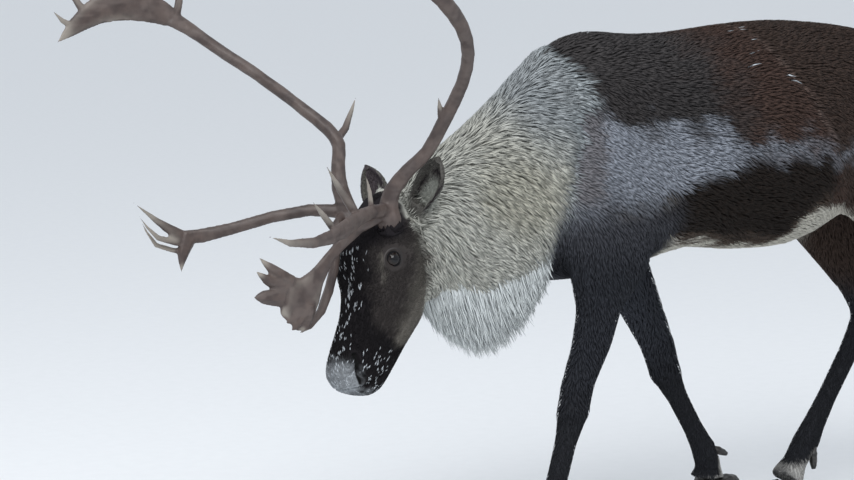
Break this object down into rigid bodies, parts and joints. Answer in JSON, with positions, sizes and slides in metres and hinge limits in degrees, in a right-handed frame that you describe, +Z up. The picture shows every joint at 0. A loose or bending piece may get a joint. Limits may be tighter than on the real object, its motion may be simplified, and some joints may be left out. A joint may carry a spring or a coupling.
{
  "type": "reindeer",
  "caption": "Life-size bull reindeer walking with its head held low, with wide palmate antlers, throat mane and split hooves, as a still model.",
  "frame": {"origin": "centre of the bounding box's bottom, on the floor that the hooves stand on", "axes": "the animal faces -X, its right side is at +Y, +Z is up"},
  "size_m": [2.2498, 0.7226, 1.46],
  "materials": {
    "hide": "short dense winter fur, dark grey-brown with pale flank band and belly",
    "mane": "long soft fur, grey-white",
    "horn": "black hoof horn, satin",
    "antler": "brown antler bone, ridged, with paler tine tips",
    "eye": "wet dark eye"
  },
  "bodies": {
    "root": {"antler_left_base": "antler", "antler_left_beam": "antler", "antler_left_palm": "antler", "antler_left_bez": "antler", "antler_left_brow": "antler", "ear_left": "hide", "eye_left": "eye", "antler_right_base": "antler", "antler_right_beam": "antler", "antler_right_palm": "antler", "antler_right_bez": "antler", "antler_right_brow": "antler", "ear_right": "hide", "eye_right": "eye", "fore_left_upper": "hide", "fore_left_lower": "hide", "fore_left_hoof_outer": "horn", "fore_left_hoof_inner": "horn", "fore_left_dewclaw_outer": "horn", "fore_left_dewclaw_inner": "horn", "fore_right_upper": "hide", "fore_right_lower": "hide", "fore_right_hoof_outer": "horn", "fore_right_hoof_inner": "horn", "fore_right_dewclaw_outer": "horn", "fore_right_dewclaw_inner": "horn", "hind_left_upper": "hide", "hind_left_lower": "hide", "hind_left_hoof_outer": "horn", "hind_left_hoof_inner": "horn", "hind_left_dewclaw_outer": "horn", "hind_left_dewclaw_inner": "horn", "hind_right_upper": "hide", "hind_right_lower": "hide", "hind_right_hoof_outer": "horn", "hind_right_hoof_inner": "horn", "hind_right_dewclaw_outer": "horn", "hind_right_dewclaw_inner": "horn", "head": "hide", "neck": "mane", "torso": "hide", "tail": "mane"}
  },
  "joints": []
}
